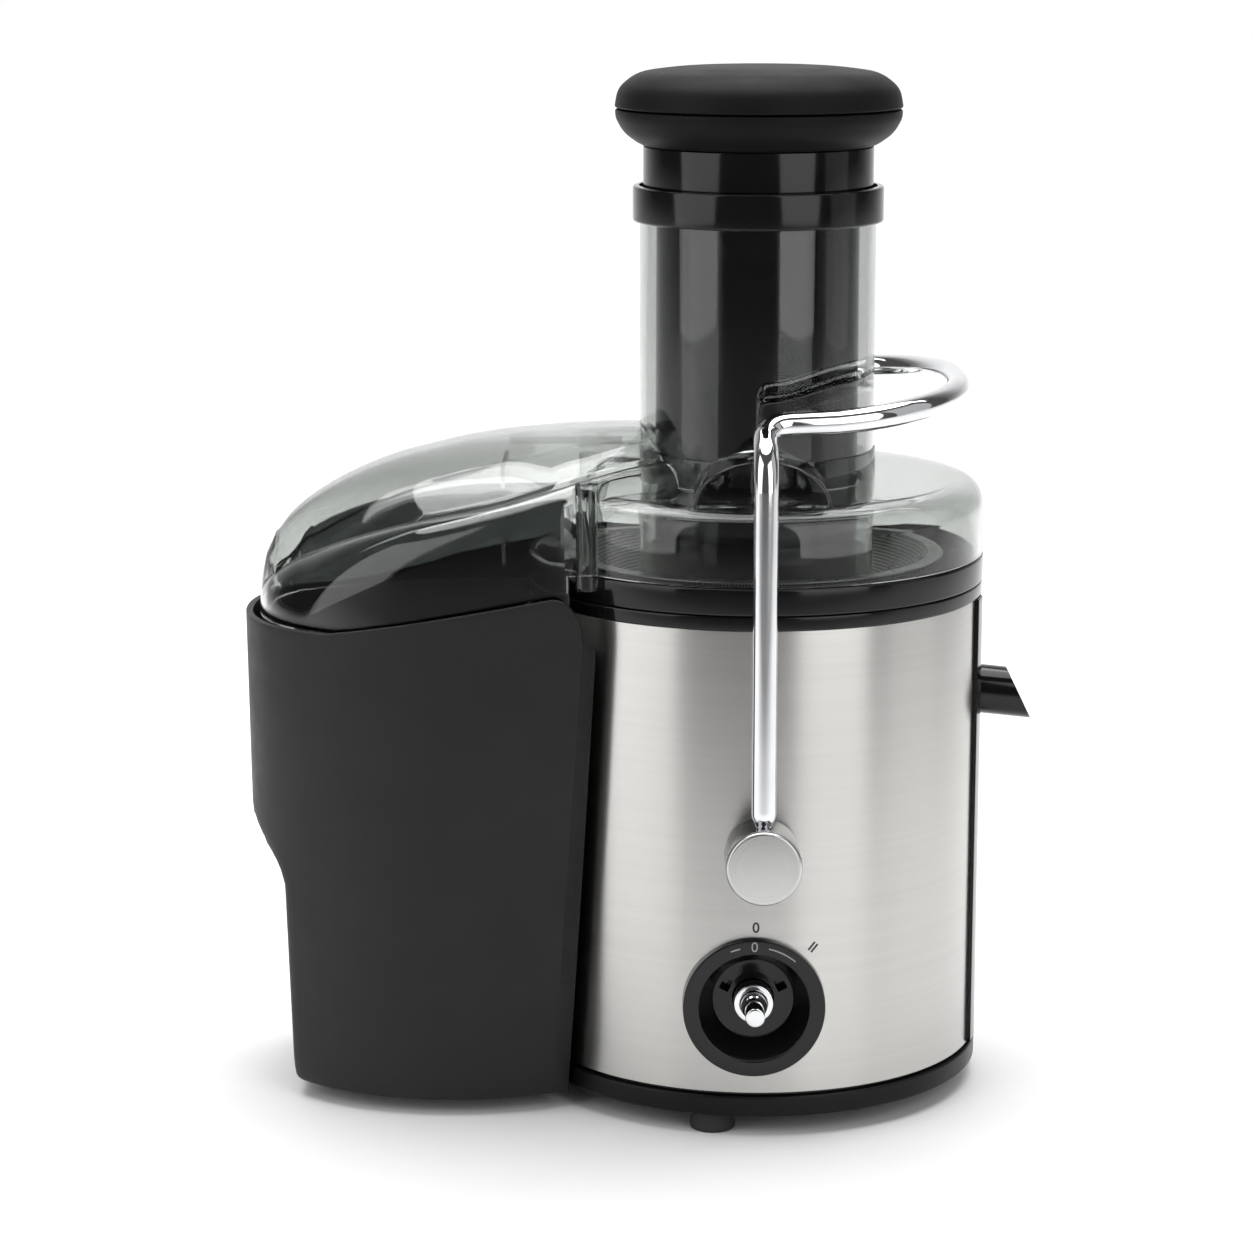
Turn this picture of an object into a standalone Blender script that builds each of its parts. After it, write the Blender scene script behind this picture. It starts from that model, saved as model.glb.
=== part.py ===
"""Centrifugal juicer: motor base, juice bowl, clear lid with feed chute, pulp bin and locking bail.

Every piece is one closed solid in its own object.  Lengths are millimetres above the table and
out from the spin axis; the helpers turn them into metres.  +X points to the spout, -Y to the front.
"""
import math

import bmesh
import bpy
from mathutils import Vector

# ---- driving dimensions (mm) ----
MM = 0.001
GAP = 0.3                       # clearance between neighbours that rest on each other
STEPS = 32                      # sides of a large turned piece
FINE = 16                       # sides of a small turned piece

SPOUT_REACH = 107.2             # spin axis to the lower edge of the spout's lip
SPOUT_TOP_REACH = 98.0          # and to its upper edge
AXIS_X = 44.5                    # spin axis from the middle of the footprint

BASE_R = 87.5
BASE_Z, BASE_TOP = 7.5, 15.5
FLOOR_Z = 10.0
FOOT_R, FOOT_CIRCLE = 8.7, 77.3
FOOT_ANGLES = (257, 17, 137)

HOUSING_R, HOUSING_IN = 85.4, 83.0
SKIN_Z, SKIN_TOP = 16.8, 192.4
HOUSING_TOP = 197.7
BAND_R = 87.3
DECK_Z, DECK_TOP, DECK_HOLE = 131.0, 134.0, 20.0
STEEL_FROM, STEEL_TO = -60.0, 72.5       # degrees from the front, towards +X
TRIM_WIDTH = 6.2                         # degrees

BOWL_R, BOWL_IN = 80.0, 77.5
BOWL_Z, RING_Z, RING_TOP = 140.0, 198.0, 208.0
SPOUT_R, SPOUT_IN, SPOUT_TILT = 9.5, 7.5, 6.0
SPOUT_ROOT_Z = 161.3                     # where the spout's axis meets the spin axis

LID_R, LID_WALL = 87.2, 2.5
LID_Z, ROOF_Z = RING_TOP + GAP, 236.5
CHUTE_R, CHUTE_IN = 44.8, 42.0
CHUTE_Z, CHUTE_TOP = 181.0, 345.0
LOBE_CENTRE, LOBE_REACH, LOBE_HALF = -90.0, 101.0, 67.0
LOBE_Z, LOBE_BASE, LOBE_RISE = 184.0, 190.0, 66.0
SADDLE_HALF, SADDLE_RISE = 25.0, 17.0

PUSHER_R, PUSHER_WALL, PUSHER_Z = 38.5, 2.5, 184.0
NECK_R, NECK_TOP = 43.6, 361.7
CAP_R, CAP_SEAM, CAP_TOP = 54.4, 375.7, 391.3
COLLAR_R, COLLAR_Z, COLLAR_TOP = 47.5, 333.5, 347.0

BIN_Z, BIN_RIM, BIN_SLOPE, BIN_WALL = 6.0, 185.0, 0.184, 2.6
BIN_INNER_TOP = 181.0                    # top of the wall that faces the motor base
BIN_CONCAVE_R = 90.0
BIN_GRIP_X = -178.0                      # flat of the finger grip
BIN_CORNER, BIN_CORNER_DROP = 12.0, 19.0  # rounding of the rim's corners beside the lid

PIVOT_Z, PIN_R, HUB_R = 109.0, 5.0, 14.0
HUB_IN, HUB_OUT, HUB_FACE = 88.0, 106.8, 108.4
BAIL_WIRE, BAIL_NECK = 4.5, 3.0
BAIL_Y, BAIL_TOP = 100.5, 256.0
LOOP_X, LOOP_Y, LOOP_Z = 76.0, 80.0, 267.0

DIAL_X, DIAL_Z, DIAL_R = -2.5, 50.3, 27.0
STEEL_R = 86.5

SHAFT_R = 4.0
BASKET_BASE, BASKET_RIM = 168.8, 207.5

TO_FRONT = (math.pi / 2, 0, 0)           # local +Z points to the front
TO_BACK = (-math.pi / 2, 0, 0)
TO_SPOUT = (0, math.radians(90 + SPOUT_TILT), 0)


def clear_scene():
    for obj in list(bpy.data.objects):
        bpy.data.objects.remove(obj, do_unlink=True)


def new_collection(name):
    collection = bpy.data.collections.new(name)
    bpy.context.scene.collection.children.link(collection)
    return collection


def new_material(name, colour, roughness, metallic=0.0, alpha=1.0):
    mat = bpy.data.materials.new(name)
    mat.use_nodes = True
    shader = mat.node_tree.nodes["Principled BSDF"]
    shader.inputs["Base Color"].default_value = (*colour, 1.0)
    shader.inputs["Roughness"].default_value = roughness
    shader.inputs["Metallic"].default_value = metallic
    shader.inputs["Alpha"].default_value = alpha
    return mat


clear_scene()
PARTS = new_collection("centrifugal_juicer")
CUTTERS = new_collection("cutters")
JUICER = bpy.data.objects.new("juicer", None)
JUICER.location = (AXIS_X * MM, 0, 0)
PARTS.objects.link(JUICER)

BLACK = new_material("black_plastic", (0.012, 0.012, 0.013), 0.32)
MATTE = new_material("charcoal_plastic", (0.032, 0.032, 0.034), 0.55)
STEEL = new_material("brushed_steel", (0.62, 0.6, 0.57), 0.32, 1.0)
CHROME = new_material("chrome", (0.82, 0.82, 0.83), 0.06, 1.0)
CLEAR = new_material("smoky_clear_plastic", (0.42, 0.47, 0.46), 0.04, 0.0, 0.35)
RUBBER = new_material("black_rubber", (0.015, 0.015, 0.015), 0.8)
IRON = new_material("motor_iron", (0.32, 0.32, 0.33), 0.45, 1.0)
COPPER = new_material("copper", (0.72, 0.33, 0.16), 0.35, 1.0)
CARBON = new_material("carbon", (0.03, 0.03, 0.03), 0.6)
BOARD = new_material("circuit_board", (0.02, 0.16, 0.07), 0.5)
GREY = new_material("grey_plastic", (0.35, 0.35, 0.36), 0.45)


# ---- helpers ----
def add(name, data, mat=None, at=(0, 0, 0), turn=(0, 0, 0)):
    """Put mesh or curve data in the scene at a place in mm; without a material it is a cutter."""
    obj = bpy.data.objects.new(name, data)
    obj.parent = JUICER
    obj.location = Vector(at) * MM
    obj.rotation_euler = turn
    if mat:
        data.materials.append(mat)
        PARTS.objects.link(obj)
    else:
        CUTTERS.objects.link(obj)
        obj.hide_render = True
        obj.display_type = "WIRE"
    return obj


def mesh_from(name, bm):
    mesh = bpy.data.meshes.new(name)
    bm.to_mesh(mesh)
    bm.free()
    return mesh


def turned(name, profile, mat=None, at=(0, 0, 0), turn=(0, 0, 0), steps=STEPS):
    """A solid of revolution about local Z; its (radius, height) profile runs down the outer side."""
    bm = bmesh.new()
    verts = [bm.verts.new((r * MM, 0, z * MM)) for r, z in profile]
    for a, b in zip(verts, verts[1:]):
        bm.edges.new((a, b))
    if profile[0][0] > 0:
        bm.edges.new((verts[-1], verts[0]))
    obj = add(name, mesh_from(name, bm), mat, at, turn)
    screw = obj.modifiers.new("Turn", "SCREW")
    screw.steps = screw.render_steps = steps
    screw.use_merge_vertices = True
    screw.merge_threshold = 0.00001
    return obj


def ring(name, r_in, r_out, z0, z1, mat=None, at=(0, 0, 0), turn=(0, 0, 0), steps=FINE):
    profile = [(r_out, z1), (r_out, z0), (r_in, z0), (r_in, z1)]
    return turned(name, profile, mat, at, turn, steps)


def disc(name, radius, z0, z1, mat=None, at=(0, 0, 0), turn=(0, 0, 0), steps=FINE):
    profile = [(0, z1), (radius, z1), (radius, z0), (0, z0)]
    return turned(name, profile, mat, at, turn, steps)


def box(name, low, high, mat=None, turn=(0, 0, 0)):
    """A box between two corners in mm, turned about its own centre."""
    size = Vector(high) - Vector(low)
    bm = bmesh.new()
    bmesh.ops.create_cube(bm, size=MM)
    bmesh.ops.scale(bm, vec=size, verts=bm.verts)
    centre = (Vector(high) + Vector(low)) / 2
    return add(name, mesh_from(name, bm), mat, centre, turn)


def panel(name, from_deg, to_deg, r_in, r_out, mat):
    """A curved skin of the motor base, between two angles measured from the front towards +X."""
    bm = bmesh.new()
    top = bm.verts.new((r_in * MM, 0, SKIN_TOP * MM))
    foot = bm.verts.new((r_in * MM, 0, SKIN_Z * MM))
    bm.edges.new((top, foot))
    obj = add(name, mesh_from(name, bm), mat, turn=(0, 0, math.radians(from_deg - 90)))
    screw = obj.modifiers.new("Turn", "SCREW")
    screw.angle = math.radians(to_deg - from_deg)
    screw.steps = screw.render_steps = max(2, round((to_deg - from_deg) / 6))
    screw.merge_threshold = 0.00001
    shell = obj.modifiers.new("Thickness", "SOLIDIFY")
    shell.thickness = (r_out - r_in) * MM
    shell.offset = 1
    return obj


def boolean(obj, other, operation="DIFFERENCE"):
    mod = obj.modifiers.new(operation.title(), "BOOLEAN")
    mod.operation = operation
    mod.object = other
    return obj


def on_circle(radius, degrees, z=0.0):
    angle = math.radians(degrees)
    return (radius * math.cos(angle), radius * math.sin(angle), z)


def arc(cx, cz, radius, from_deg, to_deg, count):
    """Points of a circular arc in a turned profile, clockwise from one angle to the other."""
    angles = [math.radians(from_deg + (to_deg - from_deg) * i / count) for i in range(count + 1)]
    return [(cx + radius * math.cos(a), cz + radius * math.sin(a)) for a in angles]


def superellipse(t, power):
    """The other coordinate of a unit superellipse where one coordinate is t."""
    return (1 - min(1.0, abs(t)) ** power) ** (1 / power)


def loft(bm, rings, cap_first=True, cap_last=True):
    """Quads between rings of equally many vertices, each ring running the same way round."""
    for low, high in zip(rings, rings[1:]):
        for i in range(len(low)):
            j = (i + 1) % len(low)
            bm.faces.new((low[i], low[j], high[j], high[i]))
    if cap_first:
        bm.faces.new(list(reversed(rings[0])))
    if cap_last:
        bm.faces.new(rings[-1])
    bmesh.ops.recalc_face_normals(bm, faces=bm.faces)


# ---- motor base ----
def base_unit():
    base = turned("base_plate", [(0, FLOOR_Z), (84, FLOOR_Z), (84, BASE_TOP), (BASE_R - 0.3, BASE_TOP),
                                 (BASE_R, BASE_TOP - 1), (BASE_R, BASE_Z + 1.2),
                                 (BASE_R - 1.2, BASE_Z), (0, BASE_Z)], BLACK)
    for i in range(8):
        turn = (0, 0, math.radians(45 * i + 22.5))
        x, y, z = on_circle(28, 45 * i + 22.5, BASE_Z)
        slot = box(f"vent_cutter_{i + 1}", (x - 9, y - 2, z - 5), (x + 9, y + 2, z + 5), turn=turn)
        boolean(base, slot)
    for i, angle in enumerate(FOOT_ANGLES):
        turned(f"foot_{i + 1}", [(0, BASE_Z - GAP), (7.6, BASE_Z - GAP), (FOOT_R, 1.6), (8.2, 0), (0, 0)],
               RUBBER, at=on_circle(FOOT_CIRCLE, angle), steps=FINE)
        at = on_circle(66, angle + 60)
        boolean(base, disc(f"screw_cutter_{i + 1}", 2.1, 0, 20, at=at, steps=12))
        turned(f"base_screw_{i + 1}", [(0, 13.5), (1.7, 13.5), (1.7, BASE_Z - GAP), (3.6, BASE_Z - GAP),
                                       (3.6, 5.9), (0, 5.9)], CHROME, at=at, steps=12)


def housing_cuts(*skins):
    """Openings for the dial, the bail's pivots, the spout and the mains gland."""
    dial = disc("dial_cutter", DIAL_R + 0.5, 60, 100, at=(DIAL_X, 0, DIAL_Z), turn=TO_FRONT, steps=32)
    front = disc("front_pivot_cutter", PIN_R + GAP, 70, 100, at=(0, 0, PIVOT_Z), turn=TO_FRONT)
    back = disc("rear_pivot_cutter", PIN_R + GAP, 70, 100, at=(0, 0, PIVOT_Z), turn=TO_BACK)
    spout = disc("spout_cutter", SPOUT_R + 0.8, 81.5, 100, at=(0, 0, SPOUT_ROOT_Z), turn=TO_SPOUT, steps=24)
    gland = disc("gland_cutter", 6.6, 70, 100, at=(0, 0, 32), turn=TO_BACK)
    holes = {"motor_housing": (dial, front, back, spout, gland), "steel_front": (dial, front),
             "rear_cover": (back, spout, gland)}
    for skin in skins:
        for hole in holes[skin.name]:
            boolean(skin, hole)


def housing():
    shell = turned("motor_housing", [(BAND_R, HOUSING_TOP), (BAND_R, SKIN_TOP + GAP),
                                     (HOUSING_R, SKIN_TOP + GAP), (HOUSING_R, BASE_TOP + GAP),
                                     (HOUSING_IN, BASE_TOP + GAP), (HOUSING_IN, DECK_Z),
                                     (DECK_HOLE, DECK_Z), (DECK_HOLE, DECK_TOP),
                                     (HOUSING_IN, DECK_TOP), (HOUSING_IN, HOUSING_TOP)], BLACK)
    skin_r = HOUSING_R + GAP
    trim = TRIM_WIDTH + 0.4
    steel = panel("steel_front", STEEL_FROM, STEEL_TO, skin_r, STEEL_R, STEEL)
    panel("side_trim_right", STEEL_TO + 0.3, STEEL_TO + TRIM_WIDTH, skin_r, 88.0, BLACK)
    panel("side_trim_left", STEEL_FROM - TRIM_WIDTH, STEEL_FROM - 0.3, skin_r, 88.0, BLACK)
    rear = panel("rear_cover", STEEL_TO + trim, 360 + STEEL_FROM - trim, skin_r, 87.0, BLACK)
    housing_cuts(shell, steel, rear)
    gland_at = (0, 0, 32)
    turned("cord_inlet", [(9, 91), (9, 87.7), (6.2, 87.4), (6.2, 79), (3.6, 79), (3.6, 91)], RUBBER,
           at=gland_at, turn=TO_BACK, steps=FINE)


def motor():
    ring("lower_bearing", SHAFT_R + GAP, 10, 25, 31, IRON)
    ring("upper_bearing", SHAFT_R + GAP, 11, 116.5, 123, IRON)
    ring("lower_motor_bracket", 10.3, 48, 26, 30, IRON, steps=24)
    ring("upper_motor_bracket", 11.3, 48, 118, 122, IRON, steps=24)
    ring("stator_core", 22.8, 40, 58, 100, IRON, steps=24)
    ring("lower_field_winding", 24, 36, 51, 57.7, COPPER, steps=24)
    ring("upper_field_winding", 24, 36, 100.3, 107, COPPER, steps=24)
    ring("shaft_seal", SHAFT_R + 0.4, DECK_HOLE - GAP, 131.3, 133.7, RUBBER)
    for i in range(3):
        disc(f"motor_post_{i + 1}", 2.5, 30.3, 117.7, STEEL, at=on_circle(44.5, 30 + 120 * i), steps=10)
        disc(f"motor_damper_{i + 1}", 6, 122.3, DECK_Z - GAP, RUBBER, at=on_circle(38, 90 + 120 * i), steps=12)
    box("front_brush", (-3, -30, 43), (3, -12.4, 50), CARBON)
    box("rear_brush", (-3, 12.4, 43), (3, 30, 50), CARBON)
    box("rotary_switch", (DIAL_X - 14, -66, 36), (DIAL_X + 14, -50, 64), GREY)
    box("interlock_switch", (12, -76, 100), (26, -66, 112), GREY)
    box("circuit_board", (-20, 56, 30), (20, 58, 75), BOARD)
    disc("filter_capacitor", 8, 58.3, 74, GREY, at=(0, 0, 58), turn=TO_BACK)


def fan_outline():
    """Outer edge of the cooling fan: a hub with raked blades."""
    blades, hub, tip = 9, 12.0, 33.0
    points = []
    for i in range(blades):
        start = 360 / blades * i
        points += [on_circle(hub, start), on_circle(tip, start + 12), on_circle(tip, start + 18),
                   on_circle(hub, start + 10)]
    return points


def flat_outline(name, outlines, z0, z1, mat):
    """A flat plate with the given closed outlines, the later ones being holes."""
    curve = bpy.data.curves.new(name, "CURVE")
    curve.dimensions = "2D"
    curve.fill_mode = "BOTH"
    curve.extrude = (z1 - z0) / 2 * MM
    for outline in outlines:
        spline = curve.splines.new("POLY")
        spline.points.add(len(outline) - 1)
        spline.use_cyclic_u = True
        for point, place in zip(spline.points, outline):
            point.co = (place[0] * MM, place[1] * MM, 0, 1)
    return add(name, curve, mat, at=(0, 0, (z0 + z1) / 2))


def spindle():
    disc("motor_shaft", SHAFT_R, 22, 161.5, IRON)
    ring("rotor_core", SHAFT_R + GAP, 22, 60, 98, IRON)
    ring("commutator", SHAFT_R + GAP, 12, 40, 54, COPPER)
    bore = [on_circle(SHAFT_R + GAP, -20 * i) for i in range(18)]
    flat_outline("cooling_fan", [fan_outline(), bore], 109, 115, GREY)
    turned("drive_coupling", [(SHAFT_R + GAP, 160), (9, 160), (12, 157), (12, 138), (SHAFT_R + GAP, 138)],
           GREY, steps=FINE)
    turned("basket_hub", [(0, 168.5), (34, 168.5), (34, 165), (11, 165), (11, 162), (0, 162)], BLACK,
           steps=32)
    turned("filter_basket", [(72, BASKET_RIM), (72, BASKET_RIM - 1.7), (67.2, BASKET_RIM - 1.7),
                             (39.5, BASKET_BASE), (30, BASKET_BASE), (30, 170.2), (38.9, 170.2),
                             (66.4, BASKET_RIM - 0.4), (66.4, BASKET_RIM)], STEEL)
    disc("grater_disc", 37.5, 170.5, 172, STEEL, steps=32)
    turned("basket_nut", [(0, 176), (5, 175.4), (9, 172.3), (0, 172.3)], CHROME, steps=FINE)


# ---- juice bowl and spout ----
def juice_bowl():
    bowl = turned("juice_bowl", [(84.4, RING_TOP), (BASE_R, RING_TOP), (BASE_R, RING_Z), (82.4, RING_Z),
                                 (BOWL_R, 188), (BOWL_R, BOWL_Z), (14, BOWL_Z), (14, 161), (16.5, 161),
                                 (16.5, BOWL_Z + 2.5), (BOWL_IN, BOWL_Z + 2.5), (BOWL_IN, 189),
                                 (81.5, RING_Z + 2)], BLACK)
    outlet = disc("outlet_cutter", SPOUT_R + GAP, 70, 90, at=(0, 0, SPOUT_ROOT_Z), turn=TO_SPOUT, steps=24)
    boolean(bowl, outlet)


def spout():
    tube = ring("juice_spout", SPOUT_IN, SPOUT_R, 76, SPOUT_REACH + 6, BLACK, at=(0, 0, SPOUT_ROOT_Z),
                turn=TO_SPOUT, steps=24)
    slant = -math.atan2(SPOUT_REACH - SPOUT_TOP_REACH, 2 * SPOUT_R)
    half = 20
    middle_x = (SPOUT_REACH + SPOUT_TOP_REACH) / 2
    middle_z = SPOUT_ROOT_Z - middle_x * math.tan(math.radians(SPOUT_TILT))
    x, z = middle_x + half * math.cos(slant), middle_z - half * math.sin(slant)
    lip = box("spout_lip_cutter", (x - half, -half, z - 2 * half), (x + half, half, z + 2 * half),
              turn=(0, slant, 0))
    boolean(tube, lip)


# ---- lid ----
def lobe_half(x):
    """Half the width of the lid's pulp cover at x."""
    if x <= LOBE_CENTRE:
        return LOBE_HALF * superellipse((LOBE_CENTRE - x) / LOBE_REACH, 2.3)
    return LOBE_HALF - 0.78 * max(0.0, x + 72)


def lobe(name, inset, foot):
    """The domed pulp cover, lofted along X from arches, drawn in by inset on every side."""
    left, right = LOBE_CENTRE - LOBE_REACH, -30.0
    spans = [0.004, 0.03, 0.08, 0.16, 0.27, 0.42, 0.58, 0.73, 0.9, 1.0]
    bm = bmesh.new()
    rings = []
    for span in spans:
        x = left + inset + (right - left - inset) * span
        half = max(3.0, lobe_half(x - inset * (1 - span)) - inset)
        rise = LOBE_RISE * superellipse((-40 - x) / (151 - inset), 2.35) if x < -40 else LOBE_RISE
        rise = max(4.0, rise - inset)
        power = 4 + 2 * (x + 190) / 150
        arch = [(-half, foot)]
        for i in range(13):
            c, s = math.cos(math.pi * i / 12), math.sin(math.pi * i / 12)
            y = -math.copysign(half * abs(c) ** (2 / power), c)
            arch.append((y, LOBE_BASE + rise * abs(s) ** (2 / power)))
        arch.append((half, foot))
        rings.append([bm.verts.new((x * MM, y * MM, z * MM)) for y, z in arch])
    loft(bm, rings)
    return add(name, mesh_from(name, bm))


def drum_profile(inset, foot):
    """The round part of the lid, with a rounded shoulder."""
    radius = 9.0 - inset / 2
    edge, top = LID_R - inset, ROOF_Z - inset
    return [(0, top)] + arc(edge - radius, top - radius, radius, 90, 0, 4) + [(edge, foot), (0, foot)]


def lid():
    cover = turned("lid", drum_profile(0, LID_Z), CLEAR)
    outer = lobe("lobe_outer", 0, LOBE_Z)
    boolean(outer, disc("body_clearance_cutter", 96.5, 150, LID_Z + 0.2, steps=STEPS))
    boolean(cover, outer, "UNION")
    for side, turn in (("front", TO_FRONT), ("rear", TO_BACK)):
        saddle = disc(f"{side}_saddle_solid", SADDLE_HALF, 40, 72, at=(0, 0, ROOF_Z - 1), turn=turn)
        saddle.scale = (1, SADDLE_RISE / SADDLE_HALF, 1)
        saddle_top = box(f"{side}_saddle_trim", (-40, -80, 200), (40, 80, ROOF_Z - 1.2))
        boolean(saddle, saddle_top)
        boolean(cover, saddle, "UNION")
    boolean(cover, turned("drum_cutter", drum_profile(LID_WALL, 200)))
    boolean(cover, lobe("lobe_cutter", LID_WALL, 170))
    boolean(cover, disc("chute_cutter", (CHUTE_R + CHUTE_IN) / 2, 150, 400))
    tube = ring("chute_solid", CHUTE_IN, CHUTE_R, CHUTE_Z, CHUTE_TOP, steps=STEPS)
    boolean(cover, tube, "UNION")
    turned("chute_collar", [(COLLAR_R - 0.8, COLLAR_TOP), (COLLAR_R, COLLAR_TOP - 0.8),
                            (COLLAR_R, COLLAR_Z + 0.8), (COLLAR_R - 0.8, COLLAR_Z),
                            (CHUTE_R + GAP, COLLAR_Z), (CHUTE_R + GAP, COLLAR_TOP)], BLACK)


# ---- pusher ----
def pusher():
    inner = PUSHER_R - PUSHER_WALL
    rest = CHUTE_TOP + GAP
    turned("pusher_body", [(0, PUSHER_Z + 3), (inner, PUSHER_Z + 3), (inner, rest), (41, rest + 2),
                           (41, NECK_TOP), (NECK_R, NECK_TOP), (NECK_R, rest), (PUSHER_R, rest),
                           (PUSHER_R, PUSHER_Z + 1.5), (PUSHER_R - 1.5, PUSHER_Z), (0, PUSHER_Z)], BLACK)
    low = NECK_TOP + GAP
    turned("pusher_cap_lower", [(30, CAP_SEAM), (CAP_R - 0.4, CAP_SEAM), (CAP_R - 0.5, CAP_SEAM - 3),
                                (CAP_R - 3, CAP_SEAM - 8), (CAP_R - 7, CAP_SEAM - 11.5),
                                (NECK_R, low), (30, low)], MATTE)
    high = CAP_SEAM + GAP
    turned("pusher_cap_upper", [(0, CAP_TOP), (38, CAP_TOP - 0.5), (46.5, CAP_TOP - 2.4),
                                (51.5, CAP_TOP - 5.6), (CAP_R - 0.4, CAP_TOP - 10), (CAP_R, high + 1.5),
                                (CAP_R - 0.4, high), (0, high)], MATTE)


# ---- pulp bin ----
def mix(a, b, t):
    return a + (b - a) * t


def bin_left_limit(z):
    """How far left the bin may reach at a height: a finger grip is scooped out below the middle."""
    t = max(0.0, min(1.0, (z - 83) / 37))
    return mix(BIN_GRIP_X - 0.03 * max(0.0, z - 10), -200, t * t * (3 - 2 * t))


def bin_rim(x, end):
    """Height of the rim at x; it rises towards its end and is rounded off there."""
    past = max(0.0, x - end + BIN_CORNER) / BIN_CORNER
    drop = BIN_CORNER_DROP * (1 - superellipse(past, 2))
    return BIN_RIM + BIN_SLOPE * max(0.0, x + 163) - drop


def bin_outline(t):
    """Plan points (x, y, top) of the bin from its front right edge round the left, then back."""
    cx, reach, half, power = mix(-115, -90, t), mix(79.6, 106.5, t), mix(65.5, 72.5, t), mix(2.0, 2.3, t)
    end = mix(-78, -66, t)
    start = math.acos(min(1.0, ((end - cx) / reach) ** (power / 2)))
    near = [0, 0.007, 0.014, 0.022, 0.032]
    shares = near + [0.068 + 0.864 * i / 20 for i in range(21)] + [1 - s for s in reversed(near)]
    outer = []
    for share in shares:
        a = mix(start, 2 * math.pi - start, share)
        c, s = math.cos(a), math.sin(a)
        x = cx + math.copysign(reach * abs(c) ** (2 / power), c)
        y = -math.copysign(half * abs(s) ** (2 / power), s)
        outer.append((x, y, bin_rim(x, end)))
    corner = math.atan2(outer[-1][1], outer[-1][0])
    span = 2 * (math.pi - corner)
    inner = [(BIN_CONCAVE_R * math.cos(corner + span * i / 10),
              BIN_CONCAVE_R * math.sin(corner + span * i / 10), BIN_INNER_TOP) for i in range(11)]
    return outer + inner


def pulp_bin():
    heights = (0.0, 0.02, 0.2, 0.42, 0.5, 0.57, 0.65, 0.8, 1.0)
    bm = bmesh.new()
    rings = []
    for t in heights:
        level = []
        for x, y, top in bin_outline(t):
            z = mix(BIN_Z, top, t)
            draw_in = 0.985 if t == 0 else 1.0
            x = max(x, bin_left_limit(z))
            if top != BIN_INNER_TOP:
                x, y = -120 + (x + 120) * draw_in, y * draw_in
            level.append(bm.verts.new((x * MM, y * MM, z * MM)))
        rings.append(level)
    loft(bm, rings, cap_last=False)
    bin_body = add("pulp_bin", mesh_from("pulp_bin", bm), MATTE)
    shell = bin_body.modifiers.new("Wall", "SOLIDIFY")
    shell.thickness = BIN_WALL * MM
    shell.offset = -1
    shell.use_even_offset = True
    for i, (x, y) in enumerate(((-100, -27), (-100, 27), (-160, 0))):
        foot = turned(f"bin_foot_solid_{i + 1}", [(0, BIN_Z + 1.2), (7, BIN_Z + 1.2), (6, 0), (0, 0)],
                      at=(x, y, 0), steps=FINE)
        boolean(bin_body, foot, "UNION")


# ---- locking bail ----
def rounded(points, radius, count=5):
    """The same path with its two inner corners rounded."""
    path = [points[0]]
    for before, corner, after in zip(points, points[1:], points[2:]):
        to_before = (before - corner).normalized() * radius
        to_after = (after - corner).normalized() * radius
        for i in range(count + 1):
            t = i / count
            path.append(corner + to_before * (1 - t) ** 2 + to_after * t ** 2)
    path.append(points[-1])
    return path


def bail_path():
    """Centreline of the bail from the front hub, round the chute, to the rear hub."""
    def loop_point(degrees):
        c, s = math.cos(math.radians(degrees)), math.sin(math.radians(degrees))
        x = LOOP_X * abs(c) ** (2 / 2.4)
        y = math.copysign(LOOP_Y * abs(s) ** (2 / 2.4), s)
        return Vector((x, y, LOOP_Z + 6 * (x / LOOP_X) ** 2))

    front = rounded([Vector((0, -BAIL_Y, PIVOT_Z + 16)), Vector((0, -BAIL_Y, BAIL_TOP)),
                     Vector((0, -LOOP_Y, LOOP_Z)), loop_point(-74)], 8)
    stub = [Vector((0, -BAIL_Y, PIVOT_Z + 7.5)), Vector((0, -BAIL_Y, PIVOT_Z + 15))]
    half = stub + front
    mirrored = [Vector((p.x, -p.y, p.z)) for p in reversed(half)]
    return half + [loop_point(a) for a in range(-66, 67, 6)] + mirrored


def bail():
    path = bail_path()
    curve = bpy.data.curves.new("bail_wire", "CURVE")
    curve.dimensions = "3D"
    curve.bevel_depth = BAIL_WIRE * MM
    curve.bevel_resolution = 2
    curve.use_fill_caps = True
    spline = curve.splines.new("POLY")
    spline.points.add(len(path) - 1)
    pivot = Vector((0, 0, PIVOT_Z))
    for i, (point, place) in enumerate(zip(spline.points, path)):
        point.co = (*((place - pivot) * MM), 1)
        at_end = i < 2 or i > len(path) - 3
        point.radius = BAIL_NECK / BAIL_WIRE if at_end else 1.0
    add("bail_wire", curve, CHROME, at=pivot)
    for side, turn, y in (("front", TO_FRONT, -BAIL_Y), ("rear", TO_BACK, BAIL_Y)):
        hub = turned(f"{side}_hub", [(HUB_R, HUB_OUT), (HUB_R, HUB_IN + 0.6), (HUB_R - 0.6, HUB_IN),
                                     (PIN_R + GAP, HUB_IN), (PIN_R + GAP, HUB_OUT)], CHROME,
                     at=pivot, turn=turn, steps=32)
        socket = disc(f"{side}_socket_cutter", BAIL_NECK + GAP, PIVOT_Z + 6.9, PIVOT_Z + 20, at=(0, y, 0),
                      steps=12)
        boolean(hub, socket)
        turned(f"{side}_hub_cap", [(0, HUB_FACE), (HUB_R - 0.7, HUB_FACE), (HUB_R - 0.1, HUB_FACE - 0.6),
                                   (HUB_R - 0.1, HUB_OUT + GAP), (0, HUB_OUT + GAP)], STEEL,
               at=pivot, turn=turn, steps=32)
        turned(f"{side}_pivot_pin", [(0, 106), (PIN_R, 106), (PIN_R, 82), (9, 82), (9, 78), (0, 78)], IRON,
               at=pivot, turn=turn, steps=FINE)


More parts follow.
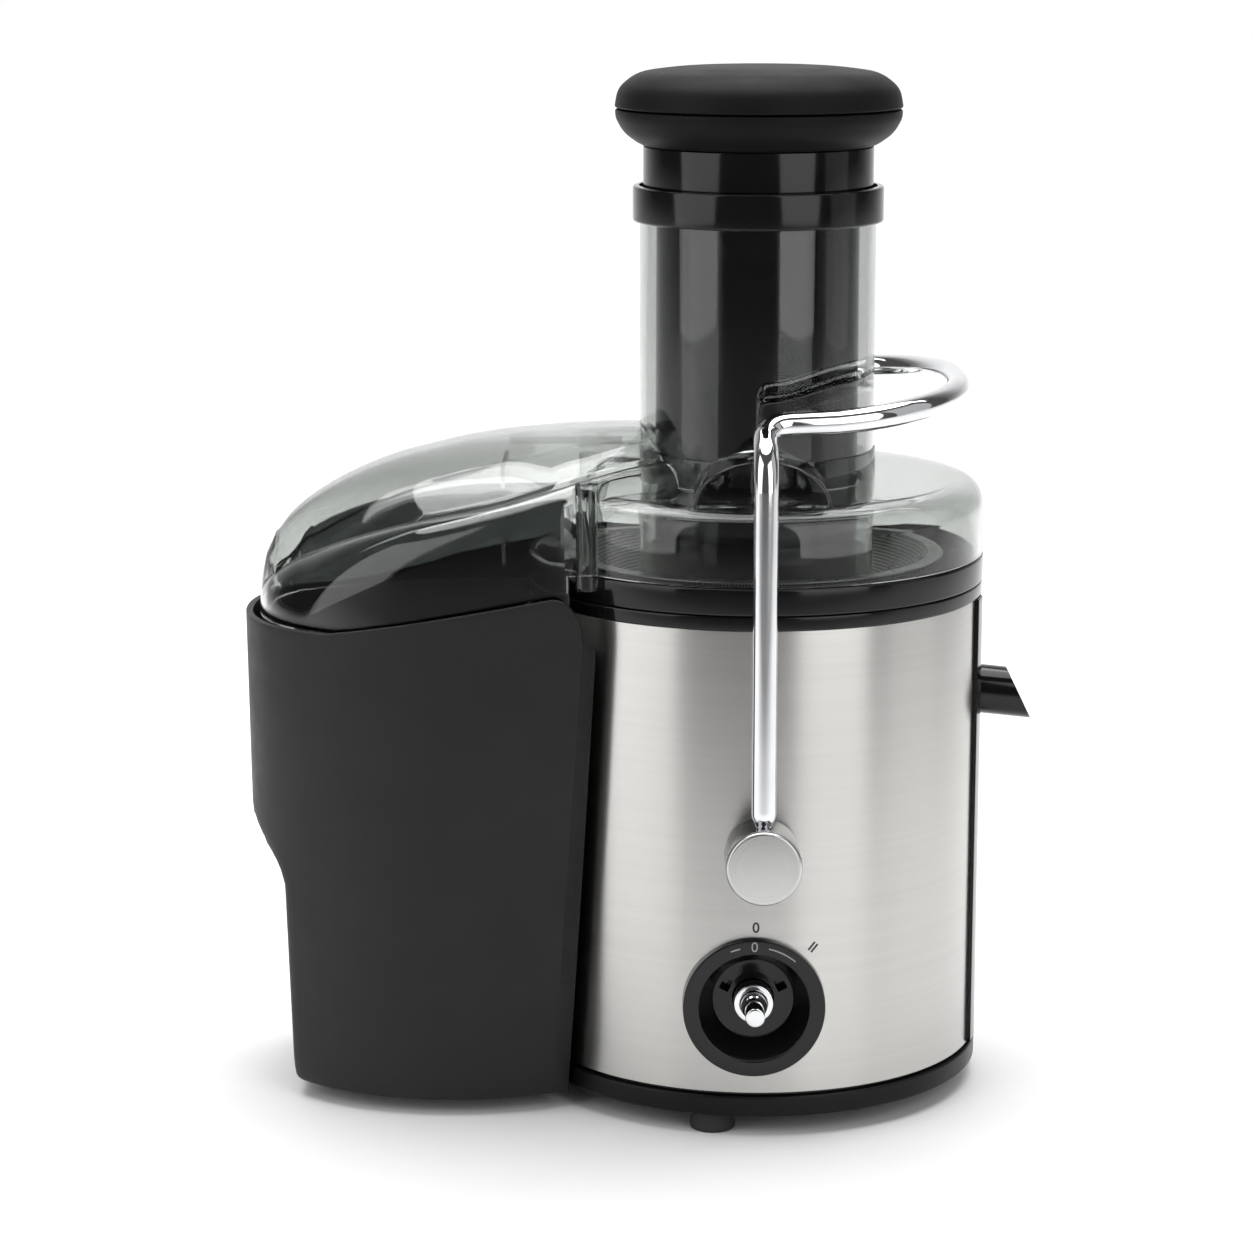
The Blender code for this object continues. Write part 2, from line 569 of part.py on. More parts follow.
# ---- control dial ----
def dial():
    at = (DIAL_X, -STEEL_R, DIAL_Z)
    turned("dial", [(20.7, 2.2), (26.2, 2.2), (DIAL_R, 1.4), (DIAL_R, -17), (7.7, -17), (7.7, -11),
                    (15.2, -11)], BLACK, at=at, turn=TO_FRONT)
    ring("dial_bush", 5.2, 7.4, -16.7, -3.3, CHROME, at=at, turn=TO_FRONT)
    turned("dial_spindle", [(0, 13.8), (2.6, 13.8), (3.6, 12.8), (3.6, 2), (4.9, 0.5), (4.9, -20),
                            (0, -20)], CHROME, at=at, turn=TO_FRONT, steps=FINE)


base_unit()
housing()
motor()
spindle()
juice_bowl()
spout()
lid()
pusher()
pulp_bin()
bail()
dial()
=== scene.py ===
import math

import bmesh
import bpy
from mathutils import Matrix, Vector


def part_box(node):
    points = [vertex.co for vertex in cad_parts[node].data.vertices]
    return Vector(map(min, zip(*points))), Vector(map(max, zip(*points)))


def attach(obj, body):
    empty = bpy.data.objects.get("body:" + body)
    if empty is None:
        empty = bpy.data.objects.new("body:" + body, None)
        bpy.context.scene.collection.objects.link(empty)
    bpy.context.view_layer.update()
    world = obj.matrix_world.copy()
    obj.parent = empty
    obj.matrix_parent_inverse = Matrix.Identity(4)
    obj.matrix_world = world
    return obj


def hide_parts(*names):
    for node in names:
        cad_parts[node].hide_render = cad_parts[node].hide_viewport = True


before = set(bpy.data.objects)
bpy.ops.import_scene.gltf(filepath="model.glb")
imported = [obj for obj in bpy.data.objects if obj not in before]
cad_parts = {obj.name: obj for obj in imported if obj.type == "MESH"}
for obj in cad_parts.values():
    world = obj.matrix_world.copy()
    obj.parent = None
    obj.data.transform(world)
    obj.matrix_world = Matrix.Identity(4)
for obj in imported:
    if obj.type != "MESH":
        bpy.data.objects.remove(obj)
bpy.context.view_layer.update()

MM = 0.001
SHAFT_LO, SHAFT_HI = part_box("motor_shaft")
AXIS = Vector(((SHAFT_LO.x + SHAFT_HI.x) / 2, 0.0, 0.0))   # the motor's spin axis
TO_FRONT = Matrix.Rotation(math.pi / 2, 4, "X")            # local +Z points to the front
TO_BACK = Matrix.Rotation(-math.pi / 2, 4, "X")
SPOUT_TILT = 6.0
TO_SPOUT = Matrix.Rotation(math.radians(90 + SPOUT_TILT), 4, "Y")
UP = Matrix.Identity(4)

# heights and radii in mm, out from the spin axis and above the table
BASE_R, BASE_Z, BASE_TOP = 87.5, 7.5, 15.5
STEEL_R, SKIN_Z, SKIN_TOP = 86.5, 16.8, 192.4
STEEL_FROM, STEEL_TO, TRIM = -60.0, 72.5, 6.2
BAND_TOP = 197.7
RING_Z, RING_TOP = 198.0, 208.0
LID_R, LID_WALL, LID_Z, ROOF_Z = 87.2, 2.5, 208.3, 236.5
CHUTE_R, CHUTE_IN, CHUTE_Z, CHUTE_TOP = 44.8, 42.0, 181.0, 345.0
PUSHER_R, PUSHER_Z = 38.5, 184.0
NECK_R, NECK_TOP = 43.6, 361.7
CAP_R, CAP_SEAM, CAP_TOP = 54.4, 375.7, 391.3
PIVOT_Z = 109.0
BAIL_R, BAIL_Y, BAIL_BEND, LOOP_X, LOOP_Y, LOOP_Z = 4.5, 100.5, 256.0, 76.0, 80.0, 267.0
DIAL = (-2.5, -86.5, 50.3)                                 # centre of the dial on the skin
DIAL_FLOOR = 11.0                                          # how deep its hollow is
SPOUT_ROOT_Z, SPOUT_REACH, SPOUT_TOP_REACH = 161.3, 107.2, 98.0
SPOUT_HOLE_R = 10.3
INLET_Z = 32.0
BIN_WALL, BIN_FLOOR_Z, BIN_SADDLE_R, BIN_SADDLE_Z = 2.6, 6.0, 90.0, 181.0
BIN_CORNER, BIN_CORNER_DROP = 12.0, 19.0                   # the rim's rounded corners beside the base
SHARP = 32.0                                               # edges above this angle in degrees stay crisp


# ---------------------------------------------------------------- materials
class Shader:
    """A Principled material with its texture nodes, all in object space."""

    def __init__(self, name, **sockets):
        self.mat = bpy.data.materials.new(name)
        self.mat.use_nodes = True
        self.nodes, self.links = self.mat.node_tree.nodes, self.mat.node_tree.links
        self.bsdf = self.nodes["Principled BSDF"]
        for key, value in sockets.items():
            self.bsdf.inputs[key.replace("_", " ")].default_value = value
        self.coord = self.nodes.new("ShaderNodeTexCoord").outputs["Object"]

    def node(self, kind, **inputs):
        """Add a node, with values or links given by socket name."""
        made = self.nodes.new(kind)
        for key, value in inputs.items():
            socket = made.inputs[key.replace("_", " ")]
            if isinstance(value, bpy.types.NodeSocket):
                self.links.new(value, socket)
            else:
                socket.default_value = value
        return made

    def stretched(self, scale):
        return self.node("ShaderNodeMapping", Vector=self.coord, Scale=scale).outputs["Vector"]

    def noise(self, scale, detail=3.0, roughness=0.5, vector=None):
        made = self.node("ShaderNodeTexNoise", Vector=vector or self.coord, Scale=scale, Detail=detail,
                         Roughness=roughness)
        return made.outputs["Fac"]

    def ranged(self, value, low, high):
        """Spread the middle of a noise over low to high."""
        made = self.node("ShaderNodeMapRange", Value=value, From_Min=0.3, From_Max=0.7, To_Min=low, To_Max=high)
        return made.outputs["Result"]

    def colours(self, value, first, second, start=0.35, end=0.65):
        ramp = self.node("ShaderNodeValToRGB", Fac=value)
        for stop, place, colour in zip(ramp.color_ramp.elements, (start, end), (first, second)):
            stop.position, stop.color = place, (*colour, 1.0)
        self.links.new(ramp.outputs["Color"], self.bsdf.inputs["Base Color"])

    def rough(self, value, low, high):
        self.links.new(self.ranged(value, low, high), self.bsdf.inputs["Roughness"])

    def bump(self, value, distance_mm, strength=1.0):
        made = self.node("ShaderNodeBump", Height=value, Strength=strength, Distance=distance_mm * MM)
        self.links.new(made.outputs["Normal"], self.bsdf.inputs["Normal"])


def moulded(name, dark, light, rough, grain_mm, bump_mm, **sockets):
    """A moulded plastic or rubber: faint cloudy tone, uneven gloss and a fine surface grain."""
    s = Shader(name, **sockets)
    s.colours(s.noise(28.0, 4.0), dark, light)
    s.rough(s.noise(70.0, 5.0, 0.6), *rough)
    s.bump(s.noise(1000.0 / grain_mm, 2.0, 0.5), bump_mm, 0.6)
    return s.mat


def clear_plastic(name, dark, light, rough=(0.015, 0.05)):
    """Tinted clear plastic with slightly uneven tint, gloss and surface."""
    s = Shader(name, Transmission_Weight=1.0, IOR=1.45, Specular_IOR_Level=0.5)
    s.colours(s.noise(9.0, 2.0), dark, light)
    s.rough(s.noise(60.0, 4.0), *rough)
    s.bump(s.noise(26.0, 1.0, 0.3), 0.03, 0.25)
    return s.mat


def brushed(name, stretch, dark, light, rough, bump_mm=0.006, pitch=2400.0, **sockets):
    """Brushed metal: noise drawn out along the brushing direction."""
    s = Shader(name, Metallic=1.0, **sockets)
    fine = s.noise(pitch, 3.0, 0.6, s.stretched(stretch))
    coarse = s.noise(pitch / 5, 4.0, 0.7, s.stretched(stretch))
    s.colours(coarse, dark, light, 0.3, 0.7)
    s.rough(fine, *rough)
    s.bump(fine, bump_mm, 0.4)
    return s.mat


def turned_metal(name, dark, light, rough):
    """Circular brushing round the local Z axis."""
    s = Shader(name, Metallic=1.0)
    split = s.node("ShaderNodeSeparateXYZ", Vector=s.coord)
    flat = s.node("ShaderNodeCombineXYZ", X=split.outputs["X"], Y=split.outputs["Y"])
    radius = s.node("ShaderNodeVectorMath", Vector=flat.outputs["Vector"])
    radius.operation = "LENGTH"
    lines = s.node("ShaderNodeCombineXYZ", X=radius.outputs["Value"], Z=split.outputs["Z"])
    fine = s.noise(2600.0, 4.0, 0.6, lines.outputs["Vector"])
    s.colours(fine, dark, light, 0.3, 0.7)
    s.rough(fine, *rough)
    s.bump(fine, 0.005, 0.5)
    return s.mat


def chrome_plate(name, rough=(0.03, 0.075), tone=1.0):
    """Bright plating with faint variation; a lower tone makes it smokier."""
    s = Shader(name, Metallic=1.0)
    s.colours(s.noise(45.0, 3.0), (0.72 * tone, 0.73 * tone, 0.75 * tone), (0.8 * tone, 0.8 * tone, 0.81 * tone))
    s.rough(s.noise(220.0, 5.0, 0.65), *rough)
    s.bump(s.noise(120.0, 2.0), 0.003, 0.3)
    return s.mat


def windings(name):
    """Turns of enamelled copper wire."""
    s = Shader(name, Metallic=0.9)
    wave = s.node("ShaderNodeTexWave", Vector=s.coord, Scale=180.0, Distortion=1.5, Detail=2.0)
    wave.bands_direction = "Z"
    s.colours(wave.outputs["Fac"], (0.35, 0.12, 0.04), (0.78, 0.36, 0.17), 0.2, 0.8)
    s.rough(s.noise(90.0), 0.28, 0.45)
    s.bump(wave.outputs["Fac"], 0.2, 0.7)
    return s.mat


def perforated(name):
    """Stainless sheet etched with fine holes, drawn as dark dots in the colour; its dull tone is painted shade for the
    inside of the covered bowl.
    """
    s = Shader(name, Metallic=1.0)
    split = s.node("ShaderNodeSeparateXYZ", Vector=s.coord)
    turn = s.node("ShaderNodeMath")
    turn.operation = "ARCTAN2"
    s.links.new(split.outputs["Y"], turn.inputs[0])
    s.links.new(split.outputs["X"], turn.inputs[1])
    wrapped = s.node("ShaderNodeCombineXYZ", X=turn.outputs["Value"], Y=split.outputs["Z"])
    grid = s.node("ShaderNodeMapping", Vector=wrapped.outputs["Vector"], Scale=(60.0, 900.0, 1.0))
    cells = s.node("ShaderNodeTexVoronoi", Vector=grid.outputs["Vector"], Scale=1.0, Randomness=0.0)
    # dark dots for the holes; the dull 0.30 steel tone is painted shade
    s.colours(cells.outputs["Distance"], (0.01, 0.01, 0.01), (0.30, 0.30, 0.29), 0.30, 0.38)
    s.rough(s.noise(150.0, 4.0), 0.25, 0.4)
    s.bump(cells.outputs["Distance"], 0.1, 0.5)
    return s.mat


def board_green(name):
    """Circuit board with a pattern of traces."""
    s = Shader(name)
    traces = s.node("ShaderNodeTexBrick", Vector=s.stretched((260.0, 260.0, 260.0)), Scale=1.0)
    traces.inputs["Color1"].default_value = (0.01, 0.11, 0.045, 1)
    traces.inputs["Color2"].default_value = (0.015, 0.15, 0.06, 1)
    traces.inputs["Mortar"].default_value = (0.12, 0.3, 0.1, 1)
    s.links.new(traces.outputs["Color"], s.bsdf.inputs["Base Color"])
    s.rough(s.noise(120.0), 0.3, 0.45)
    s.bump(traces.outputs["Fac"], 0.05, 0.4)
    return s.mat


GLOSS = moulded("gloss_black", (0.0035, 0.0035, 0.0037), (0.0055, 0.0055, 0.0058), (0.09, 0.13), 2.4, 0.0006,
                Specular_IOR_Level=0.36)
SATIN = moulded("satin_black", (0.0035, 0.0035, 0.0036), (0.0055, 0.0055, 0.0057), (0.28, 0.36), 0.9, 0.008,
                Specular_IOR_Level=0.17)
MATTE = moulded("matte_black", (0.0065, 0.0065, 0.0064), (0.0085, 0.0085, 0.0084), (0.46, 0.54), 0.6, 0.02,
                Specular_IOR_Level=0.09)
BIN_MAT = moulded("bin_charcoal", (0.0140, 0.0140, 0.0142), (0.0162, 0.0162, 0.0165), (0.46, 0.56), 0.6, 0.03,
                  Specular_IOR_Level=0.22)
RUBBER = moulded("rubber_black", (0.012, 0.012, 0.012), (0.022, 0.022, 0.022), (0.7, 0.85), 1.1, 0.08)
GREY = moulded("grey_nylon", (0.28, 0.28, 0.29), (0.40, 0.40, 0.41), (0.38, 0.5), 0.8, 0.04)
CARBON = moulded("pressed_carbon", (0.02, 0.02, 0.02), (0.05, 0.05, 0.05), (0.55, 0.7), 0.5, 0.08)
INK = moulded("dial_ink", (0.24, 0.24, 0.235), (0.31, 0.31, 0.305), (0.4, 0.5), 0.5, 0.01)
PRINT = moulded("dark_print", (0.012, 0.012, 0.012), (0.020, 0.020, 0.020), (0.35, 0.45), 0.5, 0.01)
SMOKE = clear_plastic("smoky_clear", (0.625, 0.645, 0.63), (0.665, 0.685, 0.67))
# painted shade: a dark smoky clear, used only for the liner inside the lobe, standing in for the shade seen through it
PAINTED_SHADE_SMOKE = clear_plastic("painted_shade_smoke", (0.05, 0.056, 0.054), (0.07, 0.078, 0.075), (0.05, 0.12))
CHUTE_CLEAR = clear_plastic("chute_clear", (0.66, 0.68, 0.665), (0.70, 0.72, 0.705))
STEEL = brushed("brushed_skin", (0.012, 0.012, 1.0), (0.52, 0.512, 0.495), (0.55, 0.542, 0.525), (0.28, 0.32),
                bump_mm=0.002, Anisotropic=0.75, Anisotropic_Rotation=0.25)
CAP_STEEL = turned_metal("turned_cap", (0.52, 0.52, 0.51), (0.60, 0.60, 0.59), (0.26, 0.34))
IRON = brushed("motor_iron_finish", (1.0, 1.0, 0.1), (0.22, 0.22, 0.23), (0.4, 0.4, 0.41), (0.35, 0.55),
               bump_mm=0.03, pitch=900.0)
POST = turned_metal("drawn_steel", (0.5, 0.5, 0.5), (0.66, 0.66, 0.65), (0.25, 0.4))
CHROME = chrome_plate("chrome_plate")
DARK_CHROME = chrome_plate("hub_chrome", (0.06, 0.12), 0.4)
COPPER = windings("copper_windings")
MESH = perforated("etched_mesh")
BOARD = board_green("board_green")


# ---------------------------------------------------------------- geometry helpers
def finish_mesh(name, bm, mat, at=(0, 0, 0), turn=UP, sharp=SHARP):
    """Turn a bmesh in mm into a shaded object placed from the spin axis."""
    bmesh.ops.remove_doubles(bm, verts=bm.verts, dist=0.0005)
    bmesh.ops.recalc_face_normals(bm, faces=bm.faces)
    bmesh.ops.scale(bm, vec=(MM, MM, MM), verts=bm.verts)
    mesh = bpy.data.meshes.new(name)
    bm.to_mesh(mesh)
    bm.free()
    mesh.polygons.foreach_set("use_smooth", [True] * len(mesh.polygons))
    mesh.set_sharp_from_angle(angle=math.radians(sharp))
    obj = bpy.data.objects.new(name, mesh)
    bpy.context.scene.collection.objects.link(obj)
    obj.matrix_world = Matrix.Translation(AXIS + Vector(at) * MM) @ turn
    if mat:
        mesh.materials.append(mat)
    return obj


def belongs(obj, body, slot=None, *nodes):
    """Tie a piece to its body and hide the CAD nodes that it stands for. The slot is not used."""
    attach(obj, body)
    if nodes:
        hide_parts(*nodes)


def filleted(profile, count=5):
    """The closed profile with each (radius, height, fillet) corner rounded."""
    out, total = [], len(profile)
    for i, point in enumerate(profile):
        here = Vector(point[:2])
        size = point[2] if len(point) > 2 else 0.0
        if size <= 0:
            out.append(here)
            continue
        before = Vector(profile[i - 1][:2]) - here
        after = Vector(profile[(i + 1) % total][:2]) - here
        size = min(size, before.length * 0.48, after.length * 0.48)
        a, b = before.normalized() * size, after.normalized() * size
        for k in range(count + 1):
            t = k / count
            out.append(here + a * (1 - t) ** 2 + b * t ** 2)
    return out


def lathe(name, profile, mat=None, at=(0, 0, 0), turn=UP, steps=160, span=None):
    """Spin a profile of (radius, height, fillet) corners about local Z, all round or over a span of degrees."""
    points = filleted(profile)
    bm = bmesh.new()
    first, last = (math.radians(a - 90) for a in span) if span else (0.0, 2 * math.pi)
    rows = steps + 1 if span else steps
    rings = []
    for i in range(rows):
        a = first + (last - first) * i / steps
        rings.append([bm.verts.new((p.x * math.cos(a), p.x * math.sin(a), p.y)) for p in points])
    for i in range(steps):
        near, far = rings[i], rings[(i + 1) % rows]
        for k in range(len(points)):
            m = (k + 1) % len(points)
            if points[k].x > 1e-6 or points[m].x > 1e-6:
                bm.faces.new((near[k], near[m], far[m], far[k]))
    if span:
        bm.faces.new(rings[0])
        bm.faces.new(rings[-1])
    return finish_mesh(name, bm, mat, at, turn)


def block(name, low, high, mat=None, turn=UP):
    """A box between two corners in mm, turned about its own centre."""
    low, high = Vector(low), Vector(high)
    bm = bmesh.new()
    bmesh.ops.create_cube(bm, size=1.0)
    bmesh.ops.scale(bm, vec=high - low, verts=bm.verts)
    return finish_mesh(name, bm, mat, (low + high) / 2, turn)


def cylinder(name, radius, z0, z1, mat=None, at=(0, 0, 0), turn=UP, steps=96):
    return lathe(name, [(0, z1), (radius, z1), (radius, z0), (0, z0)], mat, at, turn, steps)


def combine(obj, other, operation="DIFFERENCE"):
    """Apply a Boolean with another piece and remove that piece."""
    mod = obj.modifiers.new("cut", "BOOLEAN")
    mod.operation, mod.object = operation, other
    graph = bpy.context.evaluated_depsgraph_get()
    made = bpy.data.meshes.new_from_object(obj.evaluated_get(graph), depsgraph=graph)
    obj.modifiers.clear()
    old, obj.data = obj.data, made
    bpy.data.meshes.remove(old)
    bpy.data.objects.remove(other, do_unlink=True)
    made.set_sharp_from_angle(angle=math.radians(SHARP))


def loft(bm, rings, cap_last=True):
    """Skin a row of closed rings, capping the first and, unless told not to, the last."""
    for low, high in zip(rings, rings[1:]):
        for i in range(len(low)):
            j = (i + 1) % len(low)
            bm.faces.new((low[i], low[j], high[j], high[i]))
    bm.faces.new(list(reversed(rings[0])))
    if cap_last:
        bm.faces.new(rings[-1])


def tube(name, path, radii, mat, sides=28):
    """A rod along a path that stays near one plane, with its radius at each point."""
    bm = bmesh.new()
    rings = []
    normal = Vector((1, 0, 0))
    for i, here in enumerate(path):
        ahead = path[min(i + 1, len(path) - 1)] - path[max(i - 1, 0)]
        along = ahead.normalized()
        normal = (normal - along * normal.dot(along)).normalized()
        other = along.cross(normal)
        rings.append([bm.verts.new(here + (normal * math.cos(a) + other * math.sin(a)) * radii[i])
                      for a in (2 * math.pi * k / sides for k in range(sides))])
    loft(bm, rings)
    return finish_mesh(name, bm, mat, sharp=50)


def superellipse(t, power):
    """Height of a unit superellipse at t, from 1 at its middle to 0 at its ends."""
    return (1 - min(1.0, abs(t)) ** power) ** (1 / power)


def mix(a, b, t):
    return a + (b - a) * t


# ---------------------------------------------------------------- motor base
def build_base():
    base = lathe("base_ring", [(0, 10), (84, 10), (84, BASE_TOP), (BASE_R, BASE_TOP, 0.9), (BASE_R, BASE_Z, 1.4),
                               (0, BASE_Z)], SATIN)
    for i in range(8):
        a = math.radians(45 * i + 22.5)
        x, y = 28 * math.cos(a), 28 * math.sin(a)
        combine(base, block("slot", (x - 9, y - 2, 2), (x + 9, y + 2, 14), turn=Matrix.Rotation(a, 4, "Z")))
    belongs(base, "base", "black_plastic", "base_plate")
    for i in (1, 2, 3):
        lo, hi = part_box(f"foot_{i}")
        at = ((lo + hi) / 2 - AXIS) / MM
        foot = lathe(f"foot_pad_{i}", [(0, 7.2), (7.6, 7.2, 0.3), (8.7, 1.6, 0.6), (8.2, 0, 0.5), (3.2, 0, 0.2),
                                       (3.0, 0.8, 0.2), (0, 0.8)], RUBBER, (at.x, at.y, 0), steps=64)
        belongs(foot, "base", "rubber", f"foot_{i}")
        lo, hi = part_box(f"base_screw_{i}")
        at = ((lo + hi) / 2 - AXIS) / MM
        screw = lathe(f"base_screw_head_{i}", [(0, 7.2), (3.6, 7.2, 0.1), (3.6, 5.9, 0.6), (0, 5.9)], CHROME,
                      (at.x, at.y, 0), steps=40)
        for turn in (0, math.pi / 2):
            combine(screw, block("cross", (at.x - 1.8, at.y - 0.35, 4), (at.x + 1.8, at.y + 0.35, 6.7),
                                 turn=Matrix.Rotation(turn, 4, "Z")))
        belongs(screw, "base", "chrome", f"base_screw_{i}")

    shell = lathe("housing_shell", [(87.3, BAND_TOP, 0.6), (87.3, SKIN_TOP + 0.3, 0.4), (85.4, SKIN_TOP + 0.3),
                                    (85.4, BASE_TOP + 0.3), (83, BASE_TOP + 0.3), (83, 131), (20, 131),
                                    (20, 134), (83, 134), (83, BAND_TOP)], GLOSS)
    combine(shell, cylinder("hole", 27.4, 60, 100, at=(DIAL[0], 0, DIAL[2]), turn=TO_FRONT))
    combine(shell, cylinder("hole", SPOUT_HOLE_R, 70, 100, at=(0, 0, SPOUT_ROOT_Z), turn=TO_SPOUT))
    belongs(shell, "base", "black_plastic", "motor_housing")

    skin = lathe("steel_skin", [(85.7, SKIN_TOP), (STEEL_R, SKIN_TOP, 0.25), (STEEL_R, SKIN_Z, 0.25),
                                (85.7, SKIN_Z)], STEEL, span=(STEEL_FROM, STEEL_TO), steps=120)
    combine(skin, cylinder("hole", 26.4, 60, 100, at=(DIAL[0], 0, DIAL[2]), turn=TO_FRONT))
    belongs(skin, "base", "brushed_steel", "steel_front")

    for side, span in (("right", (STEEL_TO + 0.3, STEEL_TO + TRIM)), ("left", (STEEL_FROM - TRIM, STEEL_FROM - 0.3))):
        trim = lathe(f"trim_{side}", [(85.7, SKIN_TOP), (88.0, SKIN_TOP, 0.8), (88.0, SKIN_Z, 0.8), (85.7, SKIN_Z)],
                     GLOSS, span=span, steps=12)
        belongs(trim, "base", "black_plastic", f"side_trim_{side}")
    cover = lathe("back_cover", [(85.7, SKIN_TOP), (87.0, SKIN_TOP, 0.6), (87.0, SKIN_Z, 0.6), (85.7, SKIN_Z)],
                  SATIN, span=(STEEL_TO + TRIM + 0.4, 360 + STEEL_FROM - TRIM - 0.4), steps=140)
    combine(cover, cylinder("hole", SPOUT_HOLE_R, 81.5, 100, at=(0, 0, SPOUT_ROOT_Z), turn=TO_SPOUT))
    combine(cover, cylinder("hole", 6.6, 70, 100, at=(0, 0, INLET_Z), turn=TO_BACK))
    for i in range(9):
        a = math.radians(54 + 4 * i if i < 5 else 110 + 4 * (i - 5))
        x, y = 87 * math.cos(a), 87 * math.sin(a)
        combine(cover, block("vent", (x - 4, y - 1.3, 48), (x + 4, y + 1.3, 78), turn=Matrix.Rotation(a, 4, "Z")))
    belongs(cover, "base", "black_plastic", "rear_cover")
    gland = lathe("gland", [(9, 91, 0.6), (9, 87.7), (6.2, 87.4), (6.2, 79), (3.6, 79), (3.6, 91, 0.6)], RUBBER,
                  (0, 0, INLET_Z), TO_BACK, steps=64)
    belongs(gland, "base", "rubber", "cord_inlet")


def build_bowl():
    bowl = lathe("bowl", [(84.4, RING_TOP, 0.4), (BASE_R, RING_TOP, 1.0), (BASE_R, RING_Z, 0.8), (82.4, RING_Z, 0.3),
                          (80, 188, 4), (80, 140, 1.5), (14, 140), (14, 161, 0.6), (16.5, 161, 0.6), (16.5, 142.5, 1),
                          (77.5, 142.5, 4), (77.5, 189, 4), (81.5, 200, 1)], GLOSS)
    combine(bowl, cylinder("hole", 9.8, 70, 90, at=(0, 0, SPOUT_ROOT_Z), turn=TO_SPOUT))
    belongs(bowl, "base", "black_plastic", "juice_bowl")
    spout = lathe("spout_tube", [(7.5, 113), (9.5, 113), (9.5, 76, 0.4), (7.5, 76)], GLOSS, (0, 0, SPOUT_ROOT_Z),
                  TO_SPOUT, steps=96)
    # The lip is cut to a slant, from its far lower edge back to its nearer upper one.
    half = 20
    slant = -math.atan2(SPOUT_REACH - SPOUT_TOP_REACH, 19.0)
    x = (SPOUT_REACH + SPOUT_TOP_REACH) / 2
    z = SPOUT_ROOT_Z - x * math.tan(math.radians(SPOUT_TILT))
    at = (x + half * math.cos(slant), z - half * math.sin(slant))
    combine(spout, block("lip", (at[0] - half, -half, at[1] - 2 * half), (at[0] + half, half, at[1] + 2 * half),
                         turn=Matrix.Rotation(slant, 4, "Y")))
    spout.data.transform(spout.matrix_world)
    spout.matrix_world = UP
    belongs(spout, "spout", "black_plastic", "juice_spout")


def build_basket():
    basket = lathe("basket_cone", [(72, 207.5, 0.3), (72, 205.8, 0.3), (67.2, 205.8), (39.5, 168.8, 0.4), (30, 168.8),
                                   (30, 170.2), (38.9, 170.2), (66.4, 207.1), (66.4, 207.5)], MESH)
    belongs(basket, "spindle", "brushed_steel", "filter_basket")
    hub = lathe("basket_hub_body", [(0, 168.5), (34, 168.5, 0.5), (34, 165, 0.5), (11, 165), (11, 162), (0, 162)],
                SATIN, steps=96)
    belongs(hub, "spindle", "black_plastic", "basket_hub")
    grater = cylinder("grater_plate", 37.5, 170.5, 171.2, POST)
    bm = bmesh.new()
    for row in range(5):
        radius = 13 + 5 * row
        for i in range(10 + 4 * row):
            a = 2 * math.pi * i / (10 + 4 * row) + 0.3 * row
            tip = Vector((radius * math.cos(a), radius * math.sin(a), 172.0))
            along, side = Vector((-math.sin(a), math.cos(a), 0)), Vector((math.cos(a), math.sin(a), 0))
            foot = Vector((tip.x, tip.y, 171.0))
            corners = [foot + along * 1.2, foot - along * 0.4 + side * 0.8, foot - along * 0.4 - side * 0.8]
            top = bm.verts.new(tip)
            low = [bm.verts.new(c) for c in corners]
            for k in range(3):
                bm.faces.new((low[k], low[(k + 1) % 3], top))
            bm.faces.new(low)
    teeth = finish_mesh("grater_teeth", bm, CAP_STEEL)
    belongs(grater, "spindle", "brushed_steel", "grater_disc")
    belongs(teeth, "spindle", "brushed_steel")
    nut = lathe("dome_nut", [(0, 176), (5, 175.4, 2), (9, 172.3, 0.3), (0, 172.3)], CHROME, steps=48)
    belongs(nut, "spindle", "chrome", "basket_nut")


# ---------------------------------------------------------------- lid
LOBE_CENTRE, LOBE_REACH, LOBE_HALF = -90.0, 101.0, 67.0
LOBE_LEFT = LOBE_CENTRE - LOBE_REACH


def lobe_half(x):
    """Half width of the pulp cover at x, tapering towards the drum."""
    if x <= LOBE_CENTRE:
        return LOBE_HALF * superellipse((LOBE_CENTRE - x) / LOBE_REACH, 2.3)
    return LOBE_HALF - 0.78 * max(0.0, x + 72)


# (x, height) along the top of the pulp cover, and along the shoulder where its dome meets its wall
CREST = ((-191, 193), (-190.4, 198), (-188.6, 206), (-184, 216), (-178, 223), (-167.5, 231), (-157, 237),
         (-147, 241.5), (-136, 245.5), (-111, 251.5), (-95, 254), (-64, 256.3), (-47, 257), (-29, 257))
SHOULDER = ((-191, 190), (-188, 196), (-184, 201), (-178, 206), (-167.5, 211.5), (-157, 216.5), (-147, 220.5),
            (-132, 225.5), (-113, 230), (-93, 235), (-78.5, 239.5), (-70.6, 242), (-47, 246), (-29, 246))


def height_at(table, x):
    """The table's height at x, straight between its points."""
    for (x0, z0), (x1, z1) in zip(table, table[1:]):
        if x <= x1:
            return mix(z0, z1, max(0.0, (x - x0) / (x1 - x0)))
    return table[-1][1]


def smooth_height(table, x):
    """The same with its corners averaged out, except at the steep left end."""
    if x <= -184:
        return height_at(table, x)
    return sum(height_at(table, x + d) for d in (-5, -2.5, 0, 2.5, 5)) / 5


